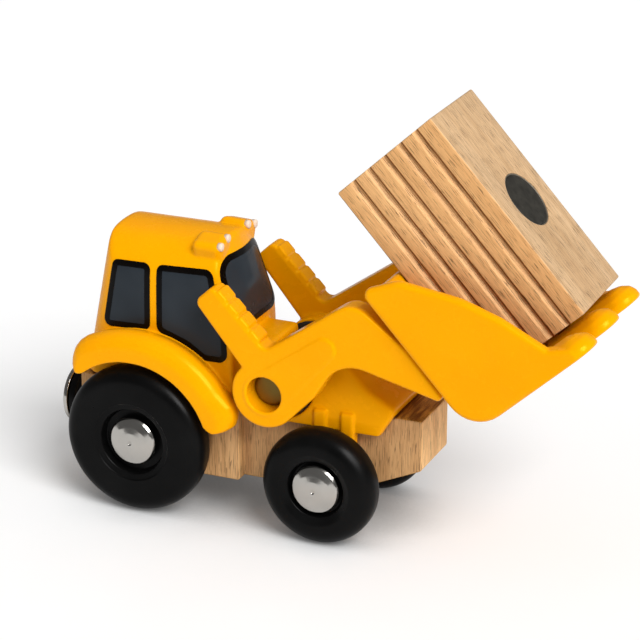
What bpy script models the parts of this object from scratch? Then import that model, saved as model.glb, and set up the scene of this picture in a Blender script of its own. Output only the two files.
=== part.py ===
"""Wooden toy wheel loader: beech chassis, moulded cab, nose cover, two arms with a bucket, and its load.

+X is forward, +Y is the vehicle's left, +Z is up, and the ground is z = 0. The sizes below are in
millimetres with the rear axle at x = 0; main() ends by moving everything so that the origin lies on the
ground under the middle of the whole toy.
"""

import math

import bmesh
import bpy
from mathutils import Matrix, Vector

MM = 0.001
GAP = 0.3                    # clearance between two pieces that meet

# wheels, axles and caps
REAR_R = 15.8
FRONT_R = 12.2
WHEELBASE = 40.7
TYRE_WIDTH = 7.2
TYRE_MID_Y = 14.5
AXLE_R = 1.7
CAP_R = 5.0
CAP_BASE_Y = 17.0

# beech chassis
CHASSIS_BACK = -15.3
CHASSIS_FRONT = 59.6
CHASSIS_LOW = 7.8
CHASSIS_TOP = 26.2
WIDE_HALF = 10.4
NARROW_HALF = 7.4
SHOULDER_X = 20.8

# cab shell
CAB_HALF = 11.2
CAB_ROOF = 58.6
FENDER_IN_R = 17.3
FENDER_OUT_R = 23.5
FENDER_SIDE = 17.9
BONNET_HALF = 7.1
HOOD_HALF = 9.6
BONNET_FRONT = 26.9
BONNET_TOP = 37.8
LAMP_Y = 7.2

# loader arms
PIVOT = (29.6, 30.8)
BOSS_R = 7.1
PIN_HOLE_R = 3.75
ARM_OUT = 17.2
ARM_IN = 12.2
BOSS_IN = 8.8
VALLEY = (29.8, 40.2)        # where the handle meets the top of the arm
HANDLE_FALL = math.radians(46.4)    # slope at which the handle's upper edge falls towards the valley
PAD_COUNT = 4                # finger pads along the handle's upper edge
PAD_PITCH = 3.35
PAD_RISE = 0.5
BEARING_R = 2.8              # bore the pivot pin turns in
PIN_HEAD_IN = 12.4
TILT = math.radians(42.4)    # pitch of the bucket floor in the raised rest pose

# bucket
BUCKET_HALF = 18.3
PLATE = 1.9
TOOTH_PITCH = 14.0
TOOTH_HALF = 4.3
FLOOR_U = -0.35              # underside of the bucket's floor, measured up from the heel

# cargo block
BLOCK_LONG = 47.2
BLOCK_DEEP = 25.8
BLOCK_WIDE = 22.9
BLOCK_NEAR_Y = -7.0
DISC_R = 6.0

# coupling
COUPLING_R = 6.1
COUPLING_Z = 16.7

PARTS = "toy_wheel_loader"


def clear_scene():
    for old in list(bpy.data.objects):
        bpy.data.objects.remove(old, do_unlink=True)


def collection(name):
    made = bpy.data.collections.new(name)
    bpy.context.scene.collection.children.link(made)
    return made


def material(name, colour, roughness, metallic=0.0):
    made = bpy.data.materials.new(name)
    made.use_nodes = True
    shader = made.node_tree.nodes["Principled BSDF"]
    shader.inputs["Base Color"].default_value = (*colour, 1.0)
    shader.inputs["Roughness"].default_value = roughness
    shader.inputs["Metallic"].default_value = metallic
    return made


clear_scene()
parts = collection(PARTS)
tools = collection("cutters")
tools.hide_render = True

YELLOW = material("yellow_plastic", (1.0, 0.41, 0.0), 0.32)
BEECH = material("beech", (0.62, 0.40, 0.22), 0.6)
BLACK = material("black_plastic", (0.012, 0.012, 0.012), 0.35)
RUBBER = material("black_rubber", (0.02, 0.02, 0.02), 0.8)
NICKEL = material("nickel", (0.75, 0.73, 0.70), 0.15, 1.0)
STEEL = material("steel", (0.62, 0.62, 0.62), 0.3, 1.0)
FERRITE = material("dark_disc", (0.05, 0.047, 0.045), 0.45)


# ---------------------------------------------------------------- shape helpers

def place(mesh_data, name, paint, home=None):
    """A mesh in millimetres becomes a named object in metres."""
    mesh_data.transform(Matrix.Scale(MM, 4))
    obj = bpy.data.objects.new(name, mesh_data)
    (home or parts).objects.link(obj)
    if home is tools:
        obj.hide_render = True
        obj.display_type = "WIRE"
    if paint:
        mesh_data.materials.append(paint)
    mesh_data.shade_smooth()
    mesh_data.set_sharp_from_angle(angle=math.radians(30))
    return obj


def mesh_from(bm, name):
    bmesh.ops.recalc_face_normals(bm, faces=bm.faces)
    data = bpy.data.meshes.new(name)
    bm.to_mesh(data)
    bm.free()
    return data


def arc(centre, radius, start, end, steps):
    """Points on an arc in the XZ plane, angles in degrees from +X towards +Z."""
    found = []
    for i in range(steps + 1):
        angle = math.radians(start + (end - start) * i / steps)
        found.append((centre[0] + radius * math.cos(angle), centre[1] + radius * math.sin(angle)))
    return found


def filleted(corners, steps=3):
    """A closed outline from corners (x, z, radius), each corner rounded to its radius."""
    found = []
    count = len(corners)
    for i, (x, z, radius) in enumerate(corners):
        here = Vector((x, z))
        back = (Vector(corners[i - 1][:2]) - here).normalized()
        ahead = (Vector(corners[(i + 1) % count][:2]) - here).normalized()
        half = back.angle(ahead) / 2
        if radius <= 0 or half > math.radians(88):
            found.append((x, z))
            continue
        middle = here + (back + ahead).normalized() * (radius / math.sin(half))
        first = here + back * (radius / math.tan(half)) - middle
        turn = first.angle_signed(here + ahead * (radius / math.tan(half)) - middle)
        for k in range(steps + 1):
            angle = -turn * k / steps
            c, s = math.cos(angle), math.sin(angle)
            found.append((middle.x + c * first.x - s * first.y, middle.y + s * first.x + c * first.y))
    return found


def plate(name, outline, y_from, y_to, paint=None, home=None, round_by=0.0, segments=2):
    """A flat outline in the XZ plane, filled and extruded between two y values."""
    curve = bpy.data.curves.new(name, "CURVE")
    curve.dimensions = "2D"
    curve.fill_mode = "BOTH"
    curve.extrude = abs(y_to - y_from) / 2
    spline = curve.splines.new("POLY")
    spline.points.add(len(outline) - 1)
    for point, (x, z) in zip(spline.points, outline):
        point.co = (x, z, 0, 1)
    spline.use_cyclic_u = True
    holder = bpy.data.objects.new(name + "_curve", curve)
    bpy.context.scene.collection.objects.link(holder)
    bpy.context.view_layer.update()
    graph = bpy.context.evaluated_depsgraph_get()
    data = bpy.data.meshes.new_from_object(holder.evaluated_get(graph))
    data.transform(Matrix.Translation((0, (y_from + y_to) / 2, 0)) @ Matrix.Rotation(math.pi / 2, 4, "X"))
    bpy.data.objects.remove(holder)
    bm = bmesh.new()
    bm.from_mesh(data)
    bmesh.ops.remove_doubles(bm, verts=bm.verts, dist=0.001)
    bmesh.ops.dissolve_limit(bm, angle_limit=0.01, verts=bm.verts, edges=bm.edges)
    obj = place(mesh_from(bm, name), name, paint, home)
    if round_by:
        bevel(obj, round_by, segments)
    return obj


def bevel(obj, width, segments=2, angle=40):
    made = obj.modifiers.new("rounding", "BEVEL")
    made.width = width * MM
    made.segments = segments
    made.limit_method = "ANGLE"
    made.angle_limit = math.radians(angle)
    made.use_clamp_overlap = True
    return made


def box(name, low, high, paint=None, home=None, round_by=0.0, segments=2):
    bm = bmesh.new()
    bmesh.ops.create_cube(bm, size=1.0)
    size = [high[i] - low[i] for i in range(3)]
    middle = [(high[i] + low[i]) / 2 for i in range(3)]
    bmesh.ops.scale(bm, vec=size, verts=bm.verts)
    bmesh.ops.translate(bm, vec=middle, verts=bm.verts)
    obj = place(mesh_from(bm, name), name, paint, home)
    if round_by:
        bevel(obj, round_by, segments)
    return obj


def rod(name, start, end, radius, paint=None, home=None, sides=24, top_radius=None):
    """A cylinder or cone between two points."""
    start, end = Vector(start), Vector(end)
    bm = bmesh.new()
    bmesh.ops.create_cone(bm, cap_ends=True, segments=sides, radius1=radius,
                          radius2=radius if top_radius is None else top_radius, depth=(end - start).length)
    turn = (end - start).to_track_quat("Z", "Y").to_matrix().to_4x4()
    bmesh.ops.transform(bm, matrix=Matrix.Translation((start + end) / 2) @ turn, verts=bm.verts)
    return place(mesh_from(bm, name), name, paint, home)


def turned(name, profile, side, paint, steps=32):
    """A profile (radius, distance from the mid plane) turned about the Y axis; side is +1 or -1."""
    data = bpy.data.meshes.new(name)
    data.from_pydata([(r * MM, 0, h * MM) for r, h in profile],
                     [(i, i + 1) for i in range(len(profile) - 1)], [])
    obj = bpy.data.objects.new(name, data)
    parts.objects.link(obj)
    data.materials.append(paint)
    screw = obj.modifiers.new("turning", "SCREW")
    screw.axis = "Z"
    screw.steps = steps
    screw.render_steps = steps
    screw.use_merge_vertices = True
    screw.merge_threshold = 0.00001
    screw.use_smooth_shade = True
    obj.rotation_euler = (-side * math.pi / 2, 0, 0)
    return obj


def combine(obj, other, operation):
    made = obj.modifiers.new(operation.lower() + "_" + other.name, "BOOLEAN")
    made.operation = operation
    made.object = other
    made.solver = "EXACT"
    return made


def add(obj, other):
    combine(obj, other, "UNION")


def cut(obj, other):
    combine(obj, other, "DIFFERENCE")


def set_origin(obj, point):
    """Moves the object's origin to a point in millimetres and leaves its shape where it is."""
    shift = Vector(point) * MM
    obj.data.transform(Matrix.Translation(-shift))
    obj.location = obj.location + shift


# ---------------------------------------------------------------- chassis

def screw_places():
    """Each screw's x and the height of its tip."""
    return {"body_screw_rear": (-8.0, 32.0), "body_screw_front": (12.0, 32.0), "nose_screw": (49.0, 29.6)}


def make_chassis():
    side = filleted([
        (CHASSIS_BACK, CHASSIS_LOW, 0.8),
        (42.5, CHASSIS_LOW, 2.0),
        (CHASSIS_FRONT, 15.4, 1.2),
        (CHASSIS_FRONT, CHASSIS_TOP, 0),
        (CHASSIS_BACK, CHASSIS_TOP, 0),
    ])
    chassis = plate("chassis", side, -WIDE_HALF, WIDE_HALF, BEECH, round_by=0.4, segments=1)
    for sign, label in ((-1, "right"), (1, "left")):
        low_y, high_y = sorted((sign * NARROW_HALF, sign * (WIDE_HALF + 3)))
        cut(chassis, box("relief_" + label, (SHOULDER_X, low_y, 0), (70, high_y, 40), home=tools))
    for x, z, label in ((0, REAR_R, "rear"), (WHEELBASE, FRONT_R, "front")):
        cut(chassis, rod("axle_bore_" + label, (x, -20, z), (x, 20, z), AXLE_R + GAP, home=tools,
                         sides=20))
    for label, (x, _) in screw_places().items():
        low = chassis_underside(x)
        cut(chassis, rod(label + "_bore", (x, 0, low - 4), (x, 0, 40), 1.6, home=tools, sides=16))
        cut(chassis, rod(label + "_sink", (x, 0, low - 4), (x, 0, low + 6.0), 3.2, home=tools, sides=16))
    cut(chassis, rod("coupling_bore", (CHASSIS_BACK - 2, 0, COUPLING_Z), (-9.0, 0, COUPLING_Z), 1.4,
                     home=tools, sides=16))


def chassis_underside(x):
    """Height of the chassis underside at x: level, then a ramp up to the front."""
    ramp = max(0.0, x - 42.5) * (15.4 - CHASSIS_LOW) / (CHASSIS_FRONT - 42.5)
    return CHASSIS_LOW + ramp


def make_screws():
    for name, (x, tip) in screw_places().items():
        seat = chassis_underside(x) + 6.0 - GAP
        length = tip - seat
        profile = [(0, length), (1.2, length - 1.4), (1.2, 0.0), (2.7, 0.0), (2.7, -1.2), (1.6, -2.0),
                   (0, -2.0)]
        screw = turned(name, profile, 1, STEEL, 16)
        screw.rotation_euler = (0, 0, 0)
        screw.location = (x * MM, 0, seat * MM)


# ---------------------------------------------------------------- cab shell

def cab_tower():
    """The greenhouse: raked front and back, sides drawn in a little, upright and roof edges rounded."""
    bm = bmesh.new()
    bmesh.ops.create_cube(bm, size=1.0)
    for vert in bm.verts:
        top = vert.co.z > 0
        front = vert.co.x > 0
        vert.co.x = (19.4 if top else 24.6) if front else (-9.3 if top else -15.2)
        vert.co.y = math.copysign(10.4 if top else CAB_HALF, vert.co.y)
        vert.co.z = CAB_ROOF if top else CHASSIS_TOP + GAP
    uprights = [e for e in bm.edges if abs(e.verts[0].co.z - e.verts[1].co.z) > 10]
    bmesh.ops.bevel(bm, geom=uprights, offset=4.6, segments=4, profile=0.5, affect="EDGES")
    roof = [e for e in bm.edges if min(v.co.z for v in e.verts) > CAB_ROOF - 0.01]
    bmesh.ops.bevel(bm, geom=roof, offset=4.4, segments=4, profile=0.5, affect="EDGES")
    return place(mesh_from(bm, "cab_body"), "cab_body", YELLOW)


def fender_outline():
    centre = (0.0, REAR_R)
    rear = math.degrees(math.asin((29.2 - REAR_R) / FENDER_IN_R))
    front = math.degrees(math.asin((21.6 - REAR_R) / FENDER_IN_R))
    inner = arc(centre, FENDER_IN_R, 180 - rear, front, 10)
    foot = [(20.6, 21.6), (22.2, 23.4)]
    outer = arc(centre, FENDER_OUT_R, 19, 118, 10)
    back = [(-13.7, 34.4), (-13.7, 29.2)]
    return inner + foot + outer + back


def make_cab():
    cab = cab_tower()
    outline = fender_outline()
    for sign, label in ((-1, "right"), (1, "left")):
        low_y, high_y = sorted((sign * (CAB_HALF - 4.0), sign * FENDER_SIDE))
        add(cab, plate("fender_" + label, outline, low_y, high_y, home=tools, round_by=1.6,
                       segments=1))
        well_low, well_high = sorted((sign * 10.6, sign * 24.0))
        cut(cab, plate("wheel_well_" + label, arc((0, REAR_R), FENDER_IN_R, 0, 342, 18),
                       well_low, well_high, home=tools))
    cut(cab, box("chassis_slot_rear", (-30, -WIDE_HALF - GAP, 0), (40, WIDE_HALF + GAP, CHASSIS_TOP + GAP),
                 home=tools))
    add(cab, box("bonnet", (10.0, -BONNET_HALF, CHASSIS_TOP + GAP), (BONNET_FRONT, BONNET_HALF, BONNET_TOP),
                 home=tools, round_by=1.1))
    front_low = CHASSIS_TOP + GAP - 1.0
    for sign, label in ((-1, "right"), (1, "left")):
        low_y, high_y = sorted((sign * (BONNET_HALF + 0.4), sign * 14.0))
        cut(cab, box("boss_clearance_" + label, (PIVOT[0] - BOSS_R - 1.1, low_y, front_low - 6),
                     (40, high_y, 45), home=tools))
    for sign, label in ((-1, "right"), (1, "left")):
        lamp = box("lamp_" + label, (-3.6, -3.2, -1.8), (3.6, 3.2, 1.5), home=tools, round_by=0.9)
        lamp.rotation_euler = (-sign * math.radians(11), 0, 0)
        lamp.location = (13.2 * MM, sign * LAMP_Y * MM, 57.9 * MM)
        add(cab, lamp)
    cut(cab, box("cab_hollow", (-6.8, -8.6, 20), (16.5, 8.6, 52.0), home=tools))
    for name in ("body_screw_rear", "body_screw_front"):
        x = screw_places()[name][0]
        add(cab, rod(name + "_post", (x, 0, CHASSIS_TOP + GAP), (x, 0, 53), 3.0, home=tools, sides=16))
        cut(cab, rod(name + "_pilot", (x, 0, 20), (x, 0, 33.5), 1.5, home=tools, sides=16))
    return cab


# ---------------------------------------------------------------- nose cover

def make_nose():
    hood = filleted([
        (31.6, 22.5, 0.6),
        (51.2, 22.5, 1.2),
        (54.2, 28.4, 0.8),
        (44.2, 37.0, 3.0),
        (31.6, 37.0, 1.0),
    ])
    nose = plate("nose_cover", hood, -HOOD_HALF, HOOD_HALF, YELLOW)
    bevel(nose, 1.2, 2, 40)
    for sign, label in ((-1, "right"), (1, "left")):
        cut(nose, rod("boss_room_" + label, (PIVOT[0], sign * BONNET_HALF, PIVOT[1]),
                      (PIVOT[0], sign * 20, PIVOT[1]), BOSS_R + 0.6, home=tools, sides=28))
    tower = filleted([
        (27.4, CHASSIS_TOP + GAP, 0),
        (40.0, CHASSIS_TOP + GAP, 0),
        (40.0, 36.4, 0),
        (33.5, 36.4, 2.0),
        (27.4, 34.8, 2.5),
    ])
    add(nose, plate("pivot_tower", tower, -7.2, 7.2, home=tools))
    for sign, label in ((-1, "right"), (1, "left")):
        for x, place_label in ((38.8, "rear"), (44.7, "front")):
            low_y, high_y = sorted((sign * 7.8, sign * 10.6))
            rib = box("rib_" + label + "_" + place_label, (x - 1.5, low_y, 17.6), (x + 1.5, high_y, 26.6),
                      home=tools, round_by=0.5, segments=1)
            add(nose, rib)
    cut(nose, box("chassis_slot", (20, -NARROW_HALF - GAP, 0), (70, NARROW_HALF + GAP, CHASSIS_TOP + GAP),
                  home=tools))
    cut(nose, rod("front_axle_relief", (WHEELBASE, -20, FRONT_R), (WHEELBASE, 20, FRONT_R), 4.0,
                  home=tools))
    cut(nose, rod("pivot_bore", (PIVOT[0], -20, PIVOT[1]), (PIVOT[0], 20, PIVOT[1]), BEARING_R + GAP,
                  home=tools))
    cut(nose, rod("nose_pilot", (49, 0, 20), (49, 0, 30.5), 1.5, home=tools, sides=16))
    return nose


# ---------------------------------------------------------------- loader arms

def arm_outline():
    """Boss, handle and the cranked arm, in the raised pose."""
    points = arc(PIVOT, BOSS_R, 134, 316, 16)
    points += filleted([
        (*points[-1], 0),
        (40.3, 32.0, 0),
        (45.6, 40.6, 7.5),
        (66.4, 35.2, 0.9),
        (67.4, 36.2, 0.9),
        (59.6, 45.0, 2.0),
        (48.3, 53.1, 4.8),
        (*VALLEY, 2.0),
        (18.4, 52.0, 1.3),
        (14.5, 48.4, 1.6),
        (*points[0], 0),
    ], 4)[1:-1]
    return points


def make_arm(name, sign):
    low_y, high_y = sorted((sign * ARM_IN, sign * ARM_OUT))
    arm = plate(name, arm_outline(), low_y, high_y, YELLOW, round_by=0.7, segments=1)
    for k in range(PAD_COUNT):
        along = 1.8 + PAD_PITCH * (k + 0.5)
        pad = box(name + "_pad_%d" % k, (-PAD_PITCH / 2 + 0.2, low_y + 0.3, -0.8),
                  (PAD_PITCH / 2 - 0.2, high_y - 0.3, PAD_RISE), home=tools, round_by=0.4, segments=1)
        pad.rotation_euler = (0, HANDLE_FALL, 0)
        pad.location = ((VALLEY[0] - along * math.cos(HANDLE_FALL)) * MM, 0,
                        (VALLEY[1] + along * math.sin(HANDLE_FALL)) * MM)
        add(arm, pad)
    inner_low, inner_high = sorted((sign * BOSS_IN, sign * (ARM_IN + 0.8)))
    boss = rod(name + "_boss", (PIVOT[0], inner_low, PIVOT[1]), (PIVOT[0], inner_high, PIVOT[1]), BOSS_R,
               home=tools, sides=28)
    add(arm, boss)
    strip_dir = math.degrees(math.atan2(42.4 - PIVOT[1], 42.6 - PIVOT[0]))
    strip = arc((42.6, 42.4), 2.3, strip_dir - 90, strip_dir + 90, 5)
    strip += arc(PIVOT, 5.6, strip_dir + 24, strip_dir + 336, 14)
    out_low, out_high = sorted((sign * (ARM_OUT - 0.8), sign * (ARM_OUT + 0.35)))
    add(arm, plate(name + "_strip", strip, out_low, out_high, home=tools))
    cut(arm, rod(name + "_hole", (PIVOT[0], -20, PIVOT[1]), (PIVOT[0], 20, PIVOT[1]), PIN_HOLE_R,
                 home=tools, sides=20))
    neck_low, neck_high = sorted((sign * BOSS_IN, sign * PIN_HEAD_IN))
    collar = rod(name + "_collar", (PIVOT[0], neck_low, PIVOT[1]), (PIVOT[0], neck_high, PIVOT[1]), 5.0,
                 home=tools, sides=20)
    add(arm, collar)
    cut(arm, rod(name + "_bearing", (PIVOT[0], -20, PIVOT[1]), (PIVOT[0], 20, PIVOT[1]), BEARING_R,
                 home=tools, sides=20))
    set_origin(arm, (PIVOT[0], 0, PIVOT[1]))
    return arm


def make_pivot():
    """The pin with a wide head at each end, recessed in the arms' holes, and its two friction washers."""
    head_in = PIN_HEAD_IN + GAP
    head_out = head_in + 1.1
    shank = BEARING_R - GAP
    profile = [(0, head_out), (3.0, head_out), (3.4, head_out - 0.4), (3.4, head_in), (shank, head_in),
               (shank, -head_in), (3.4, -head_in), (3.4, -head_out + 0.4), (3.0, -head_out), (0, -head_out)]
    pin = turned("pivot_pin", profile, 1, STEEL, 24)
    pin.location = (PIVOT[0] * MM, 0, PIVOT[1] * MM)
    for sign, name in ((-1, "friction_washer_right"), (1, "friction_washer_left")):
        ring = [(3.1, 0.5), (6.8, 0.5), (6.8, -0.5), (3.1, -0.5), (3.1, 0.5)]
        washer = turned(name, ring, sign, RUBBER, 28)
        washer.location = (PIVOT[0] * MM, sign * 8.0 * MM, PIVOT[1] * MM)


# ---------------------------------------------------------------- bucket

def bucket_shapes():
    """Outer side outline and inner hollow outline of the bucket, in the raised pose."""
    along = Vector((math.cos(TILT), math.sin(TILT)))      # floor, towards the lip
    up = Vector((-math.sin(TILT), math.cos(TILT)))        # back wall, upwards
    heel = Vector((73.6, 30.1))

    def at(a, u):
        return tuple(heel + along * a + up * u)

    outer = [(*at(0, FLOOR_U), 7.0), (*at(24.0, FLOOR_U), 0), (*at(24.0, 4.4), 1.2),
             (79.0, 55.0, 12.0), (70.8, 58.0, 14.0), (58.0, 60.0, 3.0), (*at(1.2, 34.6), 1.0),
             (*at(0, 33.6), 0.6)]
    hollow = [(*at(3.4, 2.4), 4.0), (*at(36, 2.4), 0), (*at(36, 60), 0), (*at(-8, 60), 0),
              (*at(-8, 33.0), 0), (*at(3.4, 33.0), 1.5)]
    return outer, hollow, at


def make_bucket():
    outer, hollow, at = bucket_shapes()
    bucket = plate("bucket", filleted(outer, 4), -BUCKET_HALF, BUCKET_HALF, YELLOW)
    cut(bucket, plate("bucket_hollow", filleted(hollow, 4), -BUCKET_HALF + PLATE, BUCKET_HALF - PLATE,
                      home=tools))
    tooth = filleted([
        (*at(17.0, FLOOR_U + 0.1), 0),
        (*at(30.9, FLOOR_U + 0.1), 0.5),
        (*at(31.1, 0.7), 0.3),
        (*at(29.9, 2.5), 0.8),
        (*at(23.6, 4.6), 2.0),
        (*at(20.0, 4.6), 0),
        (*at(17.0, 2.6), 0),
    ], 2)
    for k, label in ((-1, "right"), (0, "middle"), (1, "left")):
        middle = k * TOOTH_PITCH
        add(bucket, plate("tooth_" + label, tooth, middle - TOOTH_HALF, middle + TOOTH_HALF,
                          home=tools, round_by=0.7))
    set_origin(bucket, (PIVOT[0], 0, PIVOT[1]))
    return bucket


# ---------------------------------------------------------------- cargo block

def block_frame():
    """Turns the block's own axes (long, wide, deep) into the bucket's pitch."""
    at = bucket_shapes()[2]
    corner = at(3.4 + GAP, 5.1)
    long_axis = Vector((-math.sin(TILT), 0, math.cos(TILT)))
    deep_axis = Vector((math.cos(TILT), 0, math.sin(TILT)))
    turn = Matrix((long_axis, Vector((0, 1, 0)), deep_axis)).transposed().to_4x4()
    return Matrix.Translation((corner[0], BLOCK_NEAR_Y, corner[1])) @ turn


def make_cargo():
    frame = block_frame()
    scaled = Matrix.Translation(frame.translation * MM) @ frame.to_3x3().to_4x4()
    block = box("cargo_block", (0, 0, 0), (BLOCK_LONG, BLOCK_WIDE, BLOCK_DEEP), BEECH, round_by=0.3,
                segments=1)
    pitch = BLOCK_DEEP / 6
    for k in range(1, 6):
        groove = rod("groove_%d" % k, (-3, 0, pitch * k), (BLOCK_LONG + 3, 0, pitch * k), 1.0,
                     home=tools, sides=8)
        groove.matrix_world = scaled
        cut(block, groove)
    middle = (BLOCK_LONG / 2, BLOCK_WIDE / 2)
    pocket = rod("disc_pocket", (*middle, BLOCK_DEEP - 2.4), (*middle, BLOCK_DEEP + 3), DISC_R + GAP,
                 home=tools, sides=32)
    pocket.matrix_world = scaled
    cut(block, pocket)
    block.matrix_world = scaled
    disc = rod("cargo_disc", (*middle, BLOCK_DEEP - 2.1), (*middle, BLOCK_DEEP - 0.1), DISC_R, FERRITE,
               sides=32)
    disc.matrix_world = scaled


# ---------------------------------------------------------------- wheels

def wheel_profile(radius, dished):
    """Half section of a wheel (radius, distance outwards), outer face first and closed at the bore."""
    half = TYRE_WIDTH / 2
    bore = AXLE_R + GAP
    if dished:
        crest = radius * 0.70
        face = [(bore, 1.9), (5.9, 1.9), (6.2, 2.7), (crest, half), (radius - 2.2, half - 0.35),
                (radius - 0.8, half - 1.3), (radius, half - 3.0)]
    else:
        step = radius * 0.53
        face = [(bore, 1.9), (6.1, 1.9), (6.4, half - 0.9), (step, half - 0.8), (step + 0.5, half),
                (radius - 2.6, half), (radius - 0.8, half - 0.8), (radius, half - 2.6)]
    back = [(radius, -half + 2.4), (radius - 0.8, -half + 0.8), (radius - 2.4, -half), (bore, -half),
            (bore, 1.9)]
    return face + back


def make_wheels():
    for x, radius, end, dished in ((0.0, REAR_R, "rear", False), (WHEELBASE, FRONT_R, "front", True)):
        for sign, side in ((-1, "right"), (1, "left")):
            wheel = turned("wheel_" + end + "_" + side, wheel_profile(radius, dished), sign, BLACK, 36)
            wheel.location = (x * MM, sign * TYRE_MID_Y * MM, radius * MM)
            cap = turned("cap_" + end + "_" + side, cap_profile(), sign, NICKEL, 24)
            cap.location = (x * MM, sign * CAP_BASE_Y * MM, radius * MM)
        tip = CAP_BASE_Y + 0.3
        axle = [(0, tip), (AXLE_R - 0.3, tip), (AXLE_R, tip - 0.3), (AXLE_R, -tip + 0.3),
                (AXLE_R - 0.3, -tip), (0, -tip)]
        rod_axle = turned(end + "_axle", axle, 1, STEEL, 20)
        rod_axle.location = (x * MM, 0, radius * MM)


def cap_profile():
    """Pressed dome with a socket that takes the axle's end."""
    outer = [(0, 1.75), (1.8, 1.62), (3.4, 1.25), (4.5, 0.7), (CAP_R, 0.0), (CAP_R, -0.3)]
    socket = AXLE_R + GAP
    return outer + [(socket, -0.3), (socket, 0.65), (0, 0.65)]


# ---------------------------------------------------------------- coupling

def make_coupling():
    back = CHASSIS_BACK - GAP
    z = COUPLING_Z
    housing = rod("coupling_housing", (back, 0, z), (-21.0, 0, z), COUPLING_R, BLACK, sides=36)
    cut(housing, rod("housing_bore", (-30, 0, z), (0, 0, z), 1.7, home=tools, sides=16))
    bevel(housing, 0.35, 1, 40)
    magnet = rod("coupling_magnet", (-21.0 - GAP, 0, z), (-22.3, 0, z), COUPLING_R, NICKEL, sides=36)
    cut(magnet, rod("magnet_bore", (-30, 0, z), (0, 0, z), 2.4 + GAP, home=tools, sides=20))
    profile = [(0, 0), (1.6, -0.1), (2.4, -0.5), (2.4, -0.8), (1.1, -0.8), (1.1, -9.8), (0, -11.0)]
    screw = turned("coupling_screw", profile, 1, STEEL, 16)
    screw.rotation_euler = (0, -math.pi / 2, 0)
    screw.location = ((-21.0 - GAP - 0.8) * MM, 0, z * MM)


def centre_frame():
    """Moves every object along x so that the origin is under the middle of the toy's length."""
    bpy.context.view_layer.update()
    graph = bpy.context.evaluated_depsgraph_get()
    found = []
    for obj in parts.objects:
        shape = obj.evaluated_get(graph)
        found += [(shape.matrix_world @ vert.co).x for vert in shape.data.vertices]
    shift = -(min(found) + max(found)) / 2
    for obj in list(parts.objects) + list(tools.objects):
        obj.location.x += shift


def main():
    make_chassis()
    make_screws()
    make_cab()
    make_nose()
    make_arm("loader_arm_right", -1)
    make_arm("loader_arm_left", 1)
    make_pivot()
    make_bucket()
    make_cargo()
    make_wheels()
    make_coupling()
    centre_frame()


main()
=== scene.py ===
"""Looks of a wooden toy wheel loader: yellow mouldings, beech, black wheels with bright caps, and its load.

Shapes are built in millimetres in toy coordinates: +X forwards, +Y to the vehicle's left, +Z up, with the
ground at z = 0 and the rear axle at x = 0. TO_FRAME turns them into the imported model's frame.
"""

import math

import bmesh
import bpy
from mathutils import Matrix, Vector
from mathutils.bvhtree import BVHTree


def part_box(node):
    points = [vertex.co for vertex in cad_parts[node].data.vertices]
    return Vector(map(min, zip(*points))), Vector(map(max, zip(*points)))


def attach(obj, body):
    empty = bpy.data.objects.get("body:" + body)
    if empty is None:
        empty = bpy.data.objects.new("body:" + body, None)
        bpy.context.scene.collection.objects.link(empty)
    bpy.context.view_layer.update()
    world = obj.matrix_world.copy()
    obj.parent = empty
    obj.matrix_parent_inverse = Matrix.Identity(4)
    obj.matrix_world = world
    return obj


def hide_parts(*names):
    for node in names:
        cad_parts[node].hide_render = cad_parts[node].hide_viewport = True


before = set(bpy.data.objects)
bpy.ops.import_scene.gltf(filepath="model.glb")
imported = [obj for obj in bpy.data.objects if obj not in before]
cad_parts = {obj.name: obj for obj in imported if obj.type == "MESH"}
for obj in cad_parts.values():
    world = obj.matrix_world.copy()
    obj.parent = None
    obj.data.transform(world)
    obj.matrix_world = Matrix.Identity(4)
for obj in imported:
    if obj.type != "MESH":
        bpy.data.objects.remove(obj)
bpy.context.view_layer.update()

MM = 0.001
AXLE_X = sum(corner[0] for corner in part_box("rear_axle")) / 2
FRONT_AXLE_X = sum(corner[0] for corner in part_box("front_axle")) / 2
TO_FRAME = Matrix.Translation((AXLE_X, 0, 0)) @ Matrix.Scale(MM, 4)

# sizes that more than one part needs, in millimetres
REAR_R = 15.8                           # radii of the wheels
FRONT_R = 12.2
WHEELBASE = (FRONT_AXLE_X - AXLE_X) / MM
TYRE_HALF = 3.6                         # half a wheel's width
TYRE_MID_Y = 14.5
PIVOT = (29.6, 30.8)                    # x and z of the loader's pivot
BORE = 20                               # half length of a cutter that goes right across the toy
TILT = math.radians(42.4)               # slope of the raised bucket's floor
ARCH_R = 17.3                           # hollow over a rear wheel
FENDER_R = 23.5                         # outside of a fender at its crown
FENDER_SIDE = 17.9
DECK = 26.5                             # underside of both mouldings where they sit on the chassis
UNDERSIDE = 7.8                         # underside of the chassis, behind the ramp
RAMP_START, NOSE_X, RAMP_RISE = 42.5, 59.6, 7.6
COUPLING_Z = 16.7
SIDES = ((-1, "right"), (1, "left"))    # the sign of y on each side of the toy
WHITE = (1.0, 1.0, 1.0)


# ---------------------------------------------------------------- mesh helpers

def workshop(name, bm):
    """A temporary object from a bmesh, in millimetres."""
    bmesh.ops.recalc_face_normals(bm, faces=bm.faces)
    data = bpy.data.meshes.new(name)
    bm.to_mesh(data)
    bm.free()
    obj = bpy.data.objects.new(name, data)
    bpy.context.scene.collection.objects.link(obj)
    return obj


def settle(obj):
    """Applies the object's modifiers to its mesh."""
    bpy.context.view_layer.update()
    graph = bpy.context.evaluated_depsgraph_get()
    data = bpy.data.meshes.new_from_object(obj.evaluated_get(graph))
    obj.modifiers.clear()
    obj.data = data
    return obj


def combine(obj, other, operation):
    """Joins, cuts or intersects an object with another one, which is used up."""
    made = obj.modifiers.new("join", "BOOLEAN")
    made.operation = operation
    made.object = other
    made.solver = "EXACT"
    settle(obj)
    bpy.data.objects.remove(other)
    return obj


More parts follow.
